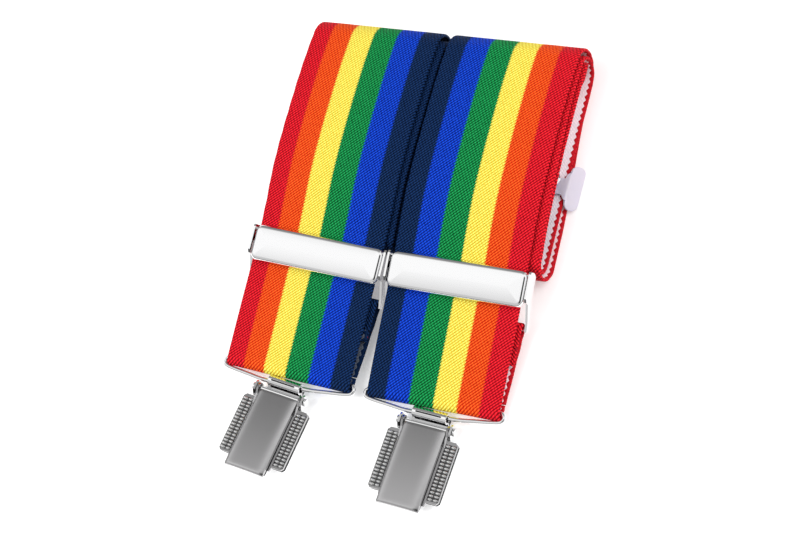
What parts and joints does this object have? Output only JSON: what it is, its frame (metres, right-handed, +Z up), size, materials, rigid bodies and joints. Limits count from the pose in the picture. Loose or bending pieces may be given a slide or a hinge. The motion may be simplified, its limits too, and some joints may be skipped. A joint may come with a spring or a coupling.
{
  "type": "x-back suspenders, folded",
  "caption": "Wide striped elastic suspenders folded into a flat bundle, with chrome adjusters, wire loops and lever clips.",
  "frame": {"origin": "under the middle of the whole object, on the surface that it lies on", "axes": "+X across the straps towards the right one as seen from above, +Y up the straps from the clips to the top fold, +Z up"},
  "size_m": [0.1162, 0.1725, 0.0204],
  "materials": {
    "rainbow_webbing": "woven elastic webbing: six lengthwise stripes, red, orange, yellow, green, blue and navy, red at the outer edge; white reverse",
    "nickel": "polished nickel plate",
    "black_leather": "smooth, stitched at its edge",
    "milky_plastic": "translucent white, slightly glossy"
  },
  "bodies": {
    "webbing_bundle": {"left_strap": "rainbow_webbing", "right_strap": "rainbow_webbing", "left_strap_return": "rainbow_webbing", "right_strap_return": "rainbow_webbing", "back_patch_outer": "black_leather", "back_patch_inner": "black_leather", "left_rear_wire_loop": "nickel", "left_rear_clip_back_jaw": "nickel", "left_rear_clip_front_jaw": "nickel", "left_rear_clip_lever": "nickel", "left_rear_clip_hinge_pin": "nickel", "right_rear_wire_loop": "nickel", "right_rear_clip_back_jaw": "nickel", "right_rear_clip_front_jaw": "nickel", "right_rear_clip_lever": "nickel", "right_rear_clip_hinge_pin": "nickel"},
    "left_adjuster": {"left_adjuster_frame": "nickel"},
    "left_cover": {"left_adjuster_cover": "nickel"},
    "left_loop": {"left_front_wire_loop": "nickel"},
    "left_clip": {"left_front_clip_back_jaw": "nickel", "left_front_clip_hinge_pin": "nickel"},
    "left_jaw": {"left_front_clip_front_jaw": "nickel"},
    "left_lever": {"left_front_clip_lever": "nickel"},
    "right_adjuster": {"right_adjuster_frame": "nickel"},
    "right_cover": {"right_adjuster_cover": "nickel"},
    "right_loop": {"right_front_wire_loop": "nickel"},
    "right_clip": {"right_front_clip_back_jaw": "nickel", "right_front_clip_hinge_pin": "nickel"},
    "right_jaw": {"right_front_clip_front_jaw": "nickel"},
    "right_lever": {"right_front_clip_lever": "nickel"},
    "packing_clip": {"packing_clip": "milky_plastic"}
  },
  "joints": [
    {"name": "left_adjuster_slide", "type": "slide", "parent": "webbing_bundle", "child": "left_adjuster", "axis": [-0.0447, -0.985, -0.1668], "range_m": [0, 0.012], "deforming": ["left_strap_return"]},
    {"name": "left_cover_hinge", "type": "hinge", "parent": "left_adjuster", "child": "left_cover", "pos_m": [-0.02802, 0.00018, 0.01591], "axis": [-0.999, 0.0454, 0], "range_deg": [0, 80]},
    {"name": "left_loop_hinge", "type": "hinge", "parent": "webbing_bundle", "child": "left_loop", "pos_m": [-0.0309, -0.04566, 0.00379], "axis": [-0.999, 0.0454, 0], "range_deg": [-30, 30]},
    {"name": "left_clip_hinge", "type": "hinge", "parent": "left_loop", "child": "left_clip", "pos_m": [-0.03115, -0.05105, 0.00379], "axis": [-0.999, 0.0454, 0], "range_deg": [-40, 45]},
    {"name": "left_jaw_hinge", "type": "hinge", "parent": "left_clip", "child": "left_jaw", "pos_m": [-0.03163, -0.05499, 0.00481], "axis": [-0.9928, 0.1201, 0], "range_deg": [0, 25.5]},
    {"name": "left_lever_hinge", "type": "hinge", "parent": "left_clip", "child": "left_lever", "pos_m": [-0.03163, -0.05499, 0.00481], "axis": [-0.9928, 0.1201, 0], "range_deg": [0, 85]},
    {"name": "right_adjuster_slide", "type": "slide", "parent": "webbing_bundle", "child": "right_adjuster", "axis": [-0.0034, -0.9823, -0.1874], "range_m": [0, 0.012], "deforming": ["right_strap_return"]},
    {"name": "right_cover_hinge", "type": "hinge", "parent": "right_adjuster", "child": "right_cover", "pos_m": [0.02654, -0.00067, 0.01571], "axis": [-1, 0.0035, 0], "range_deg": [0, 80]},
    {"name": "right_loop_hinge", "type": "hinge", "parent": "webbing_bundle", "child": "right_loop", "pos_m": [0.02558, -0.04632, 0.00262], "axis": [-1, 0.0035, 0], "range_deg": [-30, 30]},
    {"name": "right_clip_hinge", "type": "hinge", "parent": "right_loop", "child": "right_clip", "pos_m": [0.02556, -0.05172, 0.00262], "axis": [-1, 0.0035, 0], "range_deg": [-40, 45]},
    {"name": "right_jaw_hinge", "type": "hinge", "parent": "right_clip", "child": "right_jaw", "pos_m": [0.02534, -0.05572, 0.00346], "axis": [-0.9984, 0.0558, 0], "range_deg": [0, 25.5]},
    {"name": "right_lever_hinge", "type": "hinge", "parent": "right_clip", "child": "right_lever", "pos_m": [0.02534, -0.05572, 0.00346], "axis": [-0.9984, 0.0558, 0], "range_deg": [0, 85]},
    {"name": "packing_clip_slide", "type": "slide", "parent": "webbing_bundle", "child": "packing_clip", "axis": [1, 0, 0], "range_m": [0, 0.02]}
  ],
  "couplings": [
    {"joint": "left_jaw_hinge", "follows": "left_lever_hinge", "ratio": 0.3},
    {"joint": "right_jaw_hinge", "follows": "right_lever_hinge", "ratio": 0.3}
  ]
}
